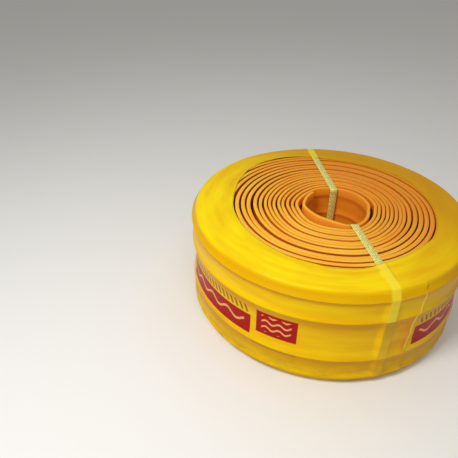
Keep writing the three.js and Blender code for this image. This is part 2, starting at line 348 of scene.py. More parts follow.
def stripSection():
    # [half thickness, up] once round, counterclockwise; up runs over the strip's width
    s = sectionValues
    lip, web, rib = s["lipThickness"] / 2, s["webThickness"] / 2, s["ribThickness"] / 2
    steps = [(0.0, lip - s["edgeRound"]), (s["edgeRound"], lip)]
    outside = lip  # a rib rises from the lip on its outer side, or from the web
    for number, inset in enumerate(s["ribInsets"]):
        crestStart, crestEnd = inset - s["ribCrest"] / 2, inset + s["ribCrest"] / 2
        steps += [(crestStart - s["ribFlank"], outside), (crestStart, rib)]
        steps += [(crestEnd, rib), (crestEnd + s["ribFlank"], web)]
        steps += [(hollow, web) for hollow in s["hollowPoints"][2 * number:2 * number + 2]]
        outside = web
    half = s["width"] / 2
    side = [(thick, inset - half) for inset, thick in steps]
    side += [(thick, half - inset) for inset, thick in reversed(steps)]
    return side + [(-thick, up) for thick, up in reversed(side)]


def lineObject(name, points, closed, attributes):
    mesh = bpy.data.meshes.new(name)
    edges = [(i, i + 1) for i in range(len(points) - 1)]
    if closed:
        edges.append((len(points) - 1, 0))
    mesh.from_pydata([tuple(map(float, p)) for p in points], edges, [])
    setAttributes(mesh, attributes)
    line = bpy.data.objects.new(name, mesh)
    scene.collection.objects.link(line)
    return line


def buildSweepTree(name, material):
    # sweeps a section line along a path line that lies flat, and keeps their attributes
    tree = bpy.data.node_groups.new(name, "GeometryNodeTree")
    sockets = tree.interface
    sockets.new_socket("Path", in_out="INPUT", socket_type="NodeSocketGeometry")
    section = sockets.new_socket("Section", in_out="INPUT", socket_type="NodeSocketObject")
    thickness = sockets.new_socket("Thickness Factor", in_out="INPUT", socket_type="NodeSocketFloat")
    width = sockets.new_socket("Width Factor", in_out="INPUT", socket_type="NodeSocketFloat")
    sockets.new_socket("Piece", in_out="OUTPUT", socket_type="NodeSocketGeometry")
    thickness.default_value = 1.0
    width.default_value = 1.0
    given = addNode(tree, "NodeGroupInput")
    info = addNode(tree, "GeometryNodeObjectInfo", {"Object": given.outputs["Section"]})
    factors = addNode(tree, "ShaderNodeCombineXYZ", {
        0: given.outputs["Thickness Factor"], 1: given.outputs["Width Factor"], 2: 1.0})
    sized = addNode(tree, "GeometryNodeTransform", {"Geometry": info.outputs["Geometry"], "Scale": factors})
    sectionCurve = addNode(tree, "GeometryNodeMeshToCurve", {"Mesh": sized})
    pathCurve = addNode(tree, "GeometryNodeMeshToCurve", {"Mesh": given.outputs["Path"]})
    upright = addNode(tree, "GeometryNodeSetCurveNormal", {"Curve": pathCurve}, mode="Z_UP")
    swept = addNode(tree, "GeometryNodeCurveToMesh", {
        "Curve": upright, "Profile Curve": sectionCurve, "Fill Caps": True})
    real = addNode(tree, "GeometryNodeRealizeInstances", {"Geometry": swept})
    finished = addNode(tree, "GeometryNodeSetMaterial", {"Geometry": real, "Material": material})
    addNode(tree, "NodeGroupOutput", {"Piece": finished})
    return tree, {"section": section.identifier, "thickness": thickness.identifier, "width": width.identifier}


def sweptPiece(name, path, section, material, thicknessFactor=1.0, widthFactor=1.0):
    tree, ids = buildSweepTree(name + "Sweep", material)
    modifier = path.modifiers.new("sweep", "NODES")
    modifier.node_group = tree
    modifier[ids["section"]] = section
    modifier[ids["thickness"]] = thicknessFactor
    modifier[ids["width"]] = widthFactor
    view = bpy.context.evaluated_depsgraph_get()
    view.update()
    mesh = bpy.data.meshes.new_from_object(path.evaluated_get(view), depsgraph=view)
    mesh.name = name
    piece = bpy.data.objects.new(name, mesh)
    scene.collection.objects.link(piece)
    path.modifiers.remove(modifier)
    for helper in (path, section):
        bpy.data.objects.remove(helper)
    return piece


def bedStrip(piece, path, pathTurn):
    # bends the outer turns' lips in under the film, lifts the strip off the straps below, and waves the lips
    v, s = windingValues, sectionValues
    mesh = piece.data
    count = len(mesh.vertices)
    at = np.empty(count * 3)
    mesh.vertices.foreach_get("co", at)
    at = at.reshape(-1, 3) * 1000
    turn, pair = np.empty(count, np.float32), np.empty(count, np.float32)
    mesh.attributes["turn"].data.foreach_get("value", turn)
    mesh.attributes["pair"].data.foreach_get("value", pair)
    low, last = s["bottom"], v["turns"]
    inset = np.minimum(at[:, 2] - low, low + s["width"] - at[:, 2])
    top = at[:, 2] > low + s["width"] / 2
    radius = np.hypot(at[:, 0], at[:, 1])
    ray = at[:, :2] / radius[:, None]
    # lips thicken outwards from the strip's middle surface, down to the first rib
    middle = np.stack([np.interp(turn, pathTurn, path[:, axis]) for axis in (0, 1)], 1)
    fromMiddle = np.sum((at[:, :2] - middle) * ray, 1)
    at[:, :2] += ray * (fromMiddle * plumpness(turn) * np.clip((22 - inset) / 8, 0, 1))[:, None]
    # the last turn's lips follow the round rim, and its faces are drawn in between the ribs
    firstRib = s["ribInsets"][0]
    bent = np.clip((firstRib - inset) / firstRib, 0, 1)
    hollow = v["panelHollow"] * np.sin(np.clip((inset - 18) / 38, 0, 1) * math.pi)
    hollow = hollow + v["middleHollow"] * smoothStep(inset, 59, 74)
    draw = -(v["rimPull"] * bent + hollow) * smoothStep(turn, last - 1.35, last - 1.0)
    # thin lips lean together in pairs and wave softly, and settle again at the first rib
    wave = waveNoise(turn * 5.3 + np.where(top, 0, 77), turn * 0 + 3.5, 23)  # below, another stretch of it
    free = smoothStep(turn, 0.3, 0.8) * (1 - smoothStep(turn, last - 3, last - 2))
    sway = v["lipSway"] * wave * free * (1 - 0.85 * np.abs(pair)) * bent
    at[:, :2] += ray * (draw + sway)[:, None]
    # each turn's edge stands a little higher or lower than the next
    settle = 0.5 + 0.5 * waveNoise(turn * 1.9, turn * 0 + 5.5, 41)
    near = np.clip((40 - inset) / 40, 0, 1)
    at[:, 2] += np.where(top, -0.5 * settle, 0.35 * settle) * near * (turn < last - 1.2)
    for name in ("strap_front", "strap_back"):
        side, forward = offStrap(name, at[:, 0], at[:, 1])
        over = (1 - smoothStep(side, 8, 16)) * (forward > -30)
        lift = v["strapLift"] * over * np.clip((30 - (at[:, 2] - low)) / 30, 0, 1)
        at[:, 2] += np.where(top, 0, lift)
    mesh.vertices.foreach_set("co", (at / 1000).ravel())
    mesh.update()


def makeStrip():
    path, turn, pair = windingPath()
    middle = sectionValues["bottom"] + sectionValues["width"] / 2
    points = np.column_stack([path, np.full(len(path), middle)]) / 1000
    length = np.concatenate([[0], np.cumsum(np.linalg.norm(np.diff(points, axis=0), axis=1))])
    pathLine = lineObject("stripPath", points, False, {"turn": turn, "pair": pair, "along": length})
    section = stripSection()
    half = sectionValues["width"] / 2
    edge = [1.0 if abs(up) > half - sectionValues["lipHighlightBand"] else 0.0 for _, up in section]
    across = [up / 1000 for _, up in section]
    sectionLine = lineObject("stripSection", [(x / 1000, y / 1000, 0) for x, y in section], True,
                             {"edge": edge, "across": across})
    material = makeStripMaterial()
    strip = sweptPiece("waterstop_strip", pathLine, sectionLine, material)
    bedStrip(strip, path, turn)
    strip.data.shade_smooth()
    strip.data.set_sharp_from_angle(angle=math.radians(50))
    print("strip wound:", round(float(length[-1]), 1), "m,", len(strip.data.polygons), "faces")
    return strip


strip = makeStrip()


# Film: two or three tight layers of printed polyethylene that act as one skin.
filmValues = {
    "thickness": 0.3,
    "ribRadius": 259.5,
    "rimRadius": 252.2,
    "kneeRadius": 247.6,
    "meanRadius": 255.0,  # turns degrees into mm round the coil
    "topHeight": 201.75,
    "ribHeights": (16.9, 58.9, 142.9, 184.9),
    "ribShoulder": 1.6,  # above and below a rib's crest the film lies ribDrop further in
    "ribDrop": 0.15,
    "panelSags": (3.0, 4.6, 3.0),
    "flankSag": 0.8,
    "innerEdge": [
        (-180, 182), (-160, 180), (-140, 180.3), (-129, 181.9), (-117, 184.8), (-104, 190), (-92, 193.2),
        (-82, 197.8), (-75, 199), (-67, 196.4), (-59, 192.6), (-46, 191.2), (-35, 191.2), (-27, 193),
        (-21, 196), (0, 196.3), (22, 196), (38, 200.6), (52, 200.2), (67, 197), (80, 196.8), (92, 195.8),
        (103, 204), (123, 212), (145, 206), (165, 190)],
    "bottomEdge": 197.0,
    "seamAngle": -52.0,
    "seamLift": 2.4,
    "seed": 5,
}


def filmAngles():
    angles = set(np.round(np.linspace(-180, 180, 330, endpoint=False), 3))
    for middle, half, step in ((-62.0, 7.0, 0.35), (102.4, 7.0, 0.4), (-52.0, 3.4, 0.2)):
        angles |= set(np.round(np.arange(middle - half, middle + half, step), 3))
    ordered = np.array(sorted(angles))
    return ordered[np.concatenate([np.diff(ordered) > 0.09, [True]])]


def filmProfile():
    # stations from the lower inner edge to the upper one: [kind, share, radius, height]
    v = filmValues
    ribs, shoulder = v["ribHeights"], v["ribShoulder"]
    shoulderRadius = v["ribRadius"] - v["ribDrop"]
    knee = v["rimRadius"] - v["kneeRadius"]
    stations = [("under", q, 0, 0) for q in np.linspace(0, 1, 10)]
    for turn in np.radians([22, 45, 68, 90]):
        stations.append(("wall", 0, v["kneeRadius"] + knee * math.sin(turn), knee * (1 - math.cos(turn))))
    for q in np.linspace(0, 1, 5)[1:-1]:
        radius = v["rimRadius"] + (v["ribRadius"] - v["rimRadius"]) * q - v["flankSag"] * 4 * q * (1 - q)
        stations.append(("wall", 0, radius, knee + (ribs[0] - 2 - knee) * q))
    for k, count in enumerate((13, 24, 13)):
        low, high = ribs[k] + shoulder, ribs[k + 1] - shoulder
        stations.append(("wall", 0, shoulderRadius, ribs[k] - shoulder))
        stations.append(("wall", 0, v["ribRadius"], ribs[k]))
        for q in (1 - np.cos(np.linspace(0, math.pi, count))) / 2:
            sag = v["panelSags"][k] * (1 - (2 * q - 1) ** 4)
            stations.append(("wall", 0, shoulderRadius - sag, low + (high - low) * q))
    stations.append(("wall", 0, v["ribRadius"], ribs[3]))
    stations.append(("wall", 0, shoulderRadius, ribs[3] + shoulder))
    start = v["topHeight"] - knee
    for q in np.linspace(0, 1, 6)[1:-1]:
        radius = v["ribRadius"] + (v["rimRadius"] - v["ribRadius"]) * q - v["flankSag"] * 4 * q * (1 - q)
        stations.append(("wall", 0, radius, ribs[3] + shoulder + (start - ribs[3] - shoulder) * q))
    for turn in np.radians([0, 18, 36, 54, 72]):
        stations.append(("wall", 0, v["kneeRadius"] + knee * math.cos(turn), start + knee * math.sin(turn)))
    stations += [("top", q, 0, v["topHeight"]) for q in np.linspace(0, 1, 20)]
    return stations


def makeFilm():
    v = filmValues
    angle = filmAngles()
    bearing = np.radians(angle)[:, None]
    kinds, share, radius, height = (np.array(column)[None, :] for column in zip(*filmProfile()))
    radius, height = (column + np.zeros((len(angle), 1)) for column in (radius, height))
    under, top = kinds == "under", kinds == "top"
    wall = ~(under | top)
    part = angle / 360 + 0.5
    edge = roundTable(v["innerEdge"], angle)[:, None]
    edge = edge + 0.7 * waveNoise(part * 126, part * 0 + 2.5, v["seed"], 126)[:, None]
    lowEdge = v["bottomEdge"] + 2 * waveNoise(part * 29, part * 0 + 7.5, v["seed"], 29)[:, None]
    radius = np.where(under, lowEdge + (v["kneeRadius"] - lowEdge) * share, radius)
    radius = np.where(top, v["kneeRadius"] + (edge - v["kneeRadius"]) * share, radius)
    flatRadius, flatHeight = radius.copy(), height.copy()
    # running length over the profile, for wrinkles and the print
    run = np.hypot(np.diff(flatRadius.mean(0)), np.diff(flatHeight.mean(0)))
    run = np.concatenate([[0], np.cumsum(run)])
    runs = run[None, :] + np.zeros_like(radius)
    turns = part[:, None] + np.zeros_like(radius)

    # long soft creases round the coil, and short ones across it
    hoop = waveNoise(turns * 24, runs / 8.5, 3, 24) + 0.5 * waveNoise(turns * 46, runs / 4.2, 4, 46)
    pucker = waveNoise(turns * 130, runs / 26, 6, 130) + 0.5 * waveNoise(turns * 250, runs / 14, 7, 250)
    slack = 0.5 + 0.5 * waveNoise(turns * 9, runs / 60, 8, 9)
    ring = smoothStep(flatRadius, 225, 246) * top
    onRim = smoothStep(flatHeight, 186, 194) * wall
    crease = np.where(wall, 0.22 * hoop * slack + 0.13 * pucker, 0)
    ribAt = np.min(np.abs(flatHeight[..., None] - np.array(v["ribHeights"])), axis=-1)
    crease = crease * (0.3 + 0.7 * smoothStep(ribAt, 1, 9))
    radius = radius + crease - 0.25 * smoothStep(np.abs(crease), 0.3, 0.6)
    ripple = 0.10 * hoop * (0.4 + slack) * (share > 0.02) + 0.12 * ring * pucker * (share > 0.05)
    height = height + np.where(top, ripple, 0) + onRim * 0.12 * hoop
    # the inner edge curls up a little off the turns in places
    curl = np.clip(waveNoise(turns * 17, turns * 0 + 4.5, 9, 17), 0, 1) * smoothStep(share, 0.85, 1.0) * top
    height = height + 0.45 * curl

    # film raised by the straps under it, and on the wall drawn tight from rib to rib
    x, y = radius * np.cos(bearing), radius * np.sin(bearing)
    tautHeights = (0, 4.2, 16.9, 184.9, 197.2, 201.8)
    tautRadii = [v[place + "Radius"] for place in ("knee", "rim", "rib", "rib", "rim", "knee")]
    taut = np.interp(flatHeight, tautHeights, tautRadii)
    raised = strapValues["thickness"] + strapValues["clearance"]
    half = strapValues["width"] / 2 + 0.4
    overStrap = np.zeros_like(radius)
    for name in ("strap_front", "strap_back"):
        side, forward = offStrap(name, x, y)
        ahead = forward > 20
        topShoulder = 4 + 22 * smoothStep(flatRadius, 228, 247)
        shoulder = np.where(top, topShoulder, 9 + 17 * smoothStep(flatHeight, 182, 194))
        shoulder = np.where(under, 4, shoulder)
        rise = (1 - np.clip((side - half) / shoulder, 0, 1)) ** 1.6 * ahead
        height = height + np.where(top, (raised - 0.1) * rise, 0)
        radius = radius + np.where(wall, (raised + np.clip(taut - radius, 0, 6)) * rise, 0)
        soft = 1 - smoothStep(side, half - 1.2, half + 1.0)
        overStrap = np.maximum(overStrap, soft * ahead)
    height = np.where(top, np.minimum(height, 202.85), height)

    # outer end of the film: a loose edge that runs up the side
    seam = v["seamAngle"] + 1.4 * smoothStep(flatHeight, 140, 147) - 0.9 * smoothStep(flatHeight, 100, 60)
    seam = seam + 0.35 * waveNoise(flatHeight / 9, turns * 0 + 1.5, 12)
    back = (seam - angle[:, None]) * math.pi / 180 * v["meanRadius"]  # mm to the left of the loose edge
    loose = np.where(back > 0, np.exp(-np.clip(back, 0, 400) / 16), 0)
    bands = 1 - 0.65 * np.exp(-(ribAt / 5) ** 2)
    radius = radius + np.where(wall, v["seamLift"] * loose * bands, 0)
    nearSeam = np.exp(-(np.clip(back, 0, 400) / 26) ** 2) * (back > -1)
    x, y = radius * np.cos(bearing), radius * np.sin(bearing)
    print("film raised over straps and seam")

    rows, columns = radius.shape
    points = np.stack([x, y, np.clip(height, 0.0, 202.88)], -1).reshape(-1, 3) / 1000
    faces = []
    for i in range(rows):
        n = (i + 1) % rows
        for j in range(columns - 1):
            faces.append((i * columns + j, n * columns + j, n * columns + j + 1, i * columns + j + 1))
    film = makePiece("film_wrap_skin", points, faces, 70)
    mesh = film.data
    setAttributes(mesh, {"overStrap": overStrap, "nearSeam": nearSeam * wall})
    layer = mesh.uv_layers.new(name="filmRound")
    corner = np.empty(len(mesh.loops), int)
    mesh.loops.foreach_get("vertex_index", corner)
    ringIndex, stationIndex = corner // columns, corner % columns
    u = (angle[ringIndex] + 180) / 360
    # the faces that close the round have their far corners one turn further on
    faceRow = np.arange(len(corner)) // 4 // (columns - 1)
    u = np.where((faceRow == rows - 1) & (ringIndex == 0), u + 1, u)
    uv = np.stack([u, run[stationIndex] / run[-1]], 1)
    layer.data.foreach_set("uv", uv.ravel())
    wallThickness = film.modifiers.new("filmThickness", "SOLIDIFY")
    wallThickness.thickness = v["thickness"] / 1000
    wallThickness.offset = -1
    print("film:", len(mesh.polygons), "faces; profile length", round(float(run[-1]), 1), "mm")
    return film, float(run[-1])


# Printed PE film: blown, glossy and slightly crinkled. The print is a plain bar, strokes and waves.
filmFinish = {
    "yellow": "F8DA06",
    "yellowDeep": "EAB604",
    "overStrip": "F6CA00",
    "overStripDeep": "E9AC00",
    # painted shade under the ribs
    "underRibShade": "C27200",
    # below each rib a painted shade: its height, how far down the shade ends and is full, and its share
    "underRibShadows": [
        (16.9, 14.0, 2.0, 0.4), (58.9, 40.0, 10.0, 0.5), (142.9, 38.0, 10.0, 0.5), (184.9, 14.0, 2.0, 0.5)],
    # painted shade on the flank above the top rib
    "flankShade": "D49800",
    # painted shade for the film's far side
    "farSideShade": "C68400",
    "overStrap": "F6E23C",
    # painted shade over the strap, low on the side
    "overStrapShaded": "B8962A",
    "lowBlotches": "7C6414",
    "printRed": "A8140E",
    "printPale": "EFA868",
    "printBrown": "7A4408",
    "seamOrange": "DD7F10",
    # painted highlight along the loose edge
    "seamHighlight": "FFE24A",
    "roughness": 0.32,
    # the print is measured in degrees round the coil and mm above the floor
    "filmEnd": -51.2,
    "firstBar": -50.0,
    "barPeriod": 126.25,  # from one bar to the next
    "barLength": 45.0,
    "barHeights": (68.0, 108.0),
    "waveHeight": 89.0,
    "waveSwing": 5.5,
    "waveHalfWidth": 2.6,
    "strokeHeights": (112.0, 127.0),
    "blockStart": 47.5,
    "blockLength": 16.0,
    "blockHeights": (80.0, 128.0),
    "lineHeights": (52.0, 55.5),
    # per mm in plan and over the film's profile
    "patterns": {
        "streaks": ((0.008, 0.008, 0.06), 5.0, 0.5, 0.0),
        "lowBlotches": ((0.03, 0.03, 0.07), 6.0, 0.65, 0.0),
        "seam": ((0.12, 0.12, 0.03), 3.0, 0.5, 0.0),
        "longCreases": ((0.02, 0.02, 1 / 3.5), 3.0, 0.5, 0.0),
        "fineCreases": ((0.16, 0.16, 0.22), 5.0, 0.65, 0.6),
    },
}


def makeFilmMaterial(profileLength):
    f = filmFinish
    material, tree = newMaterial("printedPolyethyleneFilm")

    def bandMask(value, low, high, soft, most=1.0):
        # most, a number or another mask, between low and high, and 0 outside, with soft steps
        rising = addNode(tree, "ShaderNodeMapRange", {
            "Value": value, "From Min": low - soft, "From Max": low + soft, "To Max": most},
            interpolation_type="SMOOTHSTEP")
        falling = addNode(tree, "ShaderNodeMapRange", {
            "Value": value, "From Min": high - soft, "From Max": high + soft, "To Min": 1.0, "To Max": 0.0},
            interpolation_type="SMOOTHSTEP")
        return addNode(tree, "ShaderNodeMath", {0: rising, 1: falling}, operation="MULTIPLY")

    uv = addNode(tree, "ShaderNodeUVMap", uv_map="filmRound")
    split = addNode(tree, "ShaderNodeSeparateXYZ", {0: uv})
    objectAt = addNode(tree, "ShaderNodeTexCoord")
    place = addNode(tree, "ShaderNodeSeparateXYZ", {0: objectAt.outputs["Object"]})
    rise = addNode(tree, "ShaderNodeMath", {0: place.outputs[2], 1: 1000.0}, operation="MULTIPLY")  # mm
    # mm round the coil and over the film's profile, closed on itself so no pattern breaks
    turned = addNode(tree, "ShaderNodeMath", {0: split.outputs[0], 1: 2 * math.pi}, operation="MULTIPLY")
    ring = [addNode(tree, "ShaderNodeMath", {0: turned}, operation=kind) for kind in ("COSINE", "SINE")]
    unit = addNode(tree, "ShaderNodeCombineXYZ", {0: ring[0], 1: ring[1], 2: split.outputs[1]})
    size = (filmValues["meanRadius"], filmValues["meanRadius"], profileLength)
    inMm = addNode(tree, "ShaderNodeVectorMath", {0: unit, 1: size}, operation="MULTIPLY")
    pattern = addPatterns(tree, inMm, f["patterns"])

    # yellow, deeper in long streaks round the coil; on the side the orange strip shows through the film
    streaks = addNode(tree, "ShaderNodeMapRange", {
        "Value": pattern["streaks"], "From Min": 0.35, "From Max": 0.75})
    colour = addNode(tree, "ShaderNodeMix", {
        0: streaks, 6: f["yellow"], 7: f["yellowDeep"]}, data_type="RGBA")
    warm = addNode(tree, "ShaderNodeMix", {
        0: streaks, 6: f["overStrip"], 7: f["overStripDeep"]}, data_type="RGBA")
    onSide = addNode(tree, "ShaderNodeMapRange", {
        "Value": rise, "From Min": 190.0, "From Max": 201.5, "To Min": 1.0, "To Max": 0.0})
    # layers of colour over it, each a share and a colour; the second is a painted shade on the flank
    layers = [(onSide, warm), (bandMask(rise, 186.5, 196.0, 2.5, 0.6), f["flankShade"])]
    # painted shade just below each rib, deepest right under it, where the rib's edge shades the film
    for rib, reach, full, most in f["underRibShadows"]:
        below = addNode(tree, "ShaderNodeMapRange", {
            "Value": rise, "From Min": rib - reach, "From Max": rib - full, "To Max": most},
            interpolation_type="SMOOTHSTEP")
        notPast = addNode(tree, "ShaderNodeMath", {0: rise, 1: rib - 0.3}, operation="LESS_THAN")
        shade = addNode(tree, "ShaderNodeMath", {0: below, 1: notPast}, operation="MULTIPLY")
        layers.append((shade, f["underRibShade"]))
    # brownish blotches low on the side, darker towards the floor
    blotches = addNode(tree, "ShaderNodeMapRange", {
        "Value": pattern["lowBlotches"], "From Min": 0.42, "From Max": 0.7, "To Min": 0.12, "To Max": 0.75})
    nearFloor = addNode(tree, "ShaderNodeMapRange", {
        "Value": rise, "From Min": 4.0, "From Max": 74.0, "To Min": 0.8, "To Max": 0.0})
    lowBlotchShare = addNode(tree, "ShaderNodeMath", {0: blotches, 1: nearFloor}, operation="MULTIPLY")
    layers.append((lowBlotchShare, f["lowBlotches"]))
    # the far side is painted deeper in colour, a painted shade, as less light reaches it
    sideways = addNode(tree, "ShaderNodeMath", {
        0: place.outputs[0], 1: 0.8, 2: place.outputs[1]}, operation="MULTIPLY_ADD")
    farFilmShade = addNode(tree, "ShaderNodeMapRange", {
        "Value": sideways, "From Min": -0.14, "From Max": 0.2, "To Max": 0.8})
    layers.append((farFilmShade, f["farSideShade"]))
    # orange blotches beside the loose edge, and on the edge itself, where it stands up, a painted highlight
    seamHint = addNode(tree, "ShaderNodeAttribute", attribute_name="nearSeam").outputs["Fac"]
    beside = addNode(tree, "ShaderNodeMath", {0: seamHint, 1: pattern["seam"]}, operation="MULTIPLY")
    besideShare = addNode(tree, "ShaderNodeMath", {
        0: beside, 1: bandMask(rise, 62.0, 138.0, 14.0, 1.2)}, operation="MULTIPLY")
    layers.append((besideShare, f["seamOrange"]))
    atEdge = addNode(tree, "ShaderNodeMath", {0: seamHint, 1: 0.985}, operation="GREATER_THAN")
    seamHighlightShare = addNode(tree, "ShaderNodeMath", {
        0: atEdge, 1: bandMask(rise, 68.0, 186.0, 6.0, 0.8)}, operation="MULTIPLY")
    layers.append((seamHighlightShare, f["seamHighlight"]))
    # paler over a strap, where the film lies close on it; lower down fainter, and in painted shade
    strapHint = addNode(tree, "ShaderNodeAttribute", attribute_name="overStrap").outputs["Fac"]
    fade = addNode(tree, "ShaderNodeMapRange", {
        "Value": rise, "From Min": 50.0, "From Max": 130.0, "To Min": 0.034, "To Max": 0.68})
    strapShare = addNode(tree, "ShaderNodeMath", {0: strapHint, 1: fade}, operation="MULTIPLY")
    lowDown = addNode(tree, "ShaderNodeMath", {0: rise, 1: 142.0}, operation="LESS_THAN")
    strapTone = addNode(tree, "ShaderNodeMix", {
        0: lowDown, 6: f["overStrap"], 7: f["overStrapShaded"]}, data_type="RGBA")
    layers.append((strapShare, strapTone))

    # print, repeated round the coil from the film's end
    degrees = addNode(tree, "ShaderNodeMath", {
        0: split.outputs[0], 1: 360.0, 2: -180.0}, operation="MULTIPLY_ADD")
    before = addNode(tree, "ShaderNodeMath", {0: degrees, 1: f["filmEnd"]}, operation="LESS_THAN")
    unrolled = addNode(tree, "ShaderNodeMath", {0: before, 1: 360.0, 2: degrees}, operation="MULTIPLY_ADD")
    fromBar = addNode(tree, "ShaderNodeMath", {0: unrolled, 1: f["firstBar"]}, operation="SUBTRACT")
    along = addNode(tree, "ShaderNodeMath", {0: fromBar, 1: f["barPeriod"]}, operation="FLOORED_MODULO")
    # slanted strokes above the bar
    lean = addNode(tree, "ShaderNodeMath", {0: along, 1: 0.42}, operation="MULTIPLY")
    slant = addNode(tree, "ShaderNodeMath", {0: rise, 1: 0.035, 2: lean}, operation="MULTIPLY_ADD")
    repeat = addNode(tree, "ShaderNodeMath", {0: slant}, operation="FRACT")
    inked = addNode(tree, "ShaderNodeMath", {0: repeat, 1: 0.42}, operation="LESS_THAN")
    faint = addNode(tree, "ShaderNodeMath", {0: inked, 1: 0.8}, operation="MULTIPLY")
    strokes = bandMask(along, 2.0, f["barLength"] - 1.0, 0.1, bandMask(rise, *f["strokeHeights"], 0.5, faint))
    layers.append((strokes, f["printBrown"]))
    # a long bar with a pale wave
    swing = addNode(tree, "ShaderNodeMath", {0: along, 1: 0.62}, operation="MULTIPLY")
    wave = addNode(tree, "ShaderNodeMath", {0: swing}, operation="SINE")
    waveAt = addNode(tree, "ShaderNodeMath", {
        0: wave, 1: f["waveSwing"], 2: f["waveHeight"]}, operation="MULTIPLY_ADD")
    onWave = addNode(tree, "ShaderNodeMath", {
        0: rise, 1: waveAt, 2: f["waveHalfWidth"]}, operation="COMPARE")
    paleWave = bandMask(along, 3.0, f["barLength"] - 3.0, 0.3, onWave)
    barColour = addNode(tree, "ShaderNodeMix", {
        0: paleWave, 6: f["printRed"], 7: f["printPale"]}, data_type="RGBA")
    bar = bandMask(along, 0.0, f["barLength"], 0.12, bandMask(rise, *f["barHeights"], 0.5))
    layers.append((bar, barColour))
    # a block with pale waves
    blockAt = addNode(tree, "ShaderNodeMath", {0: along, 1: f["blockStart"]}, operation="SUBTRACT")
    blockSwing = addNode(tree, "ShaderNodeMath", {0: blockAt, 1: 1.2}, operation="MULTIPLY")
    blockWave = addNode(tree, "ShaderNodeMath", {0: blockSwing}, operation="SINE")
    stacked = addNode(tree, "ShaderNodeMath", {0: rise, 1: 0.075}, operation="MULTIPLY")
    rippled = addNode(tree, "ShaderNodeMath", {0: blockWave, 1: 0.22, 2: stacked}, operation="MULTIPLY_ADD")
    ripple = addNode(tree, "ShaderNodeMath", {0: rippled}, operation="FRACT")
    onRipple = addNode(tree, "ShaderNodeMath", {0: ripple, 1: 0.3}, operation="LESS_THAN")
    pale = bandMask(blockAt, 2.2, f["blockLength"] - 2.2, 0.2, bandMask(rise, 86.0, 122.0, 0.5, onRipple))
    blockColour = addNode(tree, "ShaderNodeMix", {
        0: pale, 6: f["printRed"], 7: f["printPale"]}, data_type="RGBA")
    block = bandMask(blockAt, 0.0, f["blockLength"], 0.15, bandMask(rise, *f["blockHeights"], 0.5))
    layers.append((block, blockColour))
    # a thin dashed line below the block
    dashAt = addNode(tree, "ShaderNodeMath", {0: along, 1: 1.1}, operation="MULTIPLY")
    dashPart = addNode(tree, "ShaderNodeMath", {0: dashAt}, operation="FRACT")
    dash = addNode(tree, "ShaderNodeMath", {0: dashPart, 1: 0.7}, operation="LESS_THAN")
    dashInk = addNode(tree, "ShaderNodeMath", {0: dash, 1: 0.7}, operation="MULTIPLY")
    dashes = bandMask(rise, *f["lineHeights"], 0.4, dashInk)
    layers.append((bandMask(blockAt, -1.5, f["blockLength"] + 0.5, 0.1, dashes), f["printBrown"]))
    for share, tone in layers:
        colour = addNode(tree, "ShaderNodeMix", {0: share, 6: colour, 7: tone}, data_type="RGBA")

    # crinkles: long ones round the coil, fine random ones on them
    creases = addNode(tree, "ShaderNodeMath", {
        0: pattern["fineCreases"], 1: 0.8, 2: pattern["longCreases"]}, operation="MULTIPLY_ADD")
    bump = addNode(tree, "ShaderNodeBump", {"Height": creases, "Strength": 0.3, "Distance": 0.0009})
    dull = addNode(tree, "ShaderNodeMapRange", {
        "Value": pattern["streaks"], "From Min": 0.3, "From Max": 0.7,
        "To Min": f["roughness"] - 0.05, "To Max": f["roughness"] + 0.08})
    shader = addNode(tree, "ShaderNodeBsdfPrincipled", {
        "Base Color": colour, "Roughness": dull, "IOR": 1.5, "Normal": bump, "Specular IOR Level": 0.09})
    addNode(tree, "ShaderNodeOutputMaterial", {"Surface": shader})
    return material


film, filmLength = makeFilm()
film.data.materials.append(makeFilmMaterial(filmLength))


# Polypropylene strapping, drawn and embossed: pale, glossy, with a small diamond grid that glitters.
strapFinish = {
    "pale": "FBF6A0",
    "green": "B9AE2C",
    "roughness": 0.26,
    "diamond": 3.0,  # mm, as coarse as it needs to show
}


def makeStrapMaterial():
    f = strapFinish
    material, tree = newMaterial("embossedPolypropylene")
    along = addNode(tree, "ShaderNodeAttribute", attribute_name="along").outputs["Fac"]
    across = addNode(tree, "ShaderNodeAttribute", attribute_name="across").outputs["Fac"]
    # two sets of slanting ridges cross in a diamond grid
    ridges = []
    for kind in ("ADD", "SUBTRACT"):
        slant = addNode(tree, "ShaderNodeMath", {0: along, 1: across}, operation=kind)
        phase = addNode(tree, "ShaderNodeMath", {
            0: slant, 1: 1000 / f["diamond"] * math.pi}, operation="MULTIPLY")
        ridges.append(addNode(tree, "ShaderNodeMath", {0: phase}, operation="SINE"))
    grid = addNode(tree, "ShaderNodeMath", {0: ridges[0], 1: ridges[1]}, operation="MULTIPLY")
    place = addNode(tree, "ShaderNodeCombineXYZ", {0: along, 1: across})
    patchAt = addNode(tree, "ShaderNodeMapping", {"Vector": place, "Scale": (280, 330, 1)})
    patch = addNode(tree, "ShaderNodeTexNoise", {"Vector": patchAt, "Scale": 1.0, "Detail": 4.0})
    # pale spots over the grid and in patches: partly painted glints, partly the strap's own uneven tone
    glintsAndTone = addNode(tree, "ShaderNodeMath", {0: grid, 1: 0.2, 2: patch}, operation="MULTIPLY_ADD")
    share = addNode(tree, "ShaderNodeMapRange", {"Value": glintsAndTone, "From Min": 0.38, "From Max": 0.66})
    colour = addNode(tree, "ShaderNodeMix", {0: share, 6: f["green"], 7: f["pale"]}, data_type="RGBA")
    bump = addNode(tree, "ShaderNodeBump", {"Height": grid, "Strength": 0.6, "Distance": 0.0004})
    shader = addNode(tree, "ShaderNodeBsdfPrincipled", {
        "Base Color": colour, "Roughness": f["roughness"], "IOR": 1.49, "Normal": bump})
    addNode(tree, "ShaderNodeOutputMaterial", {"Surface": shader})
    return material


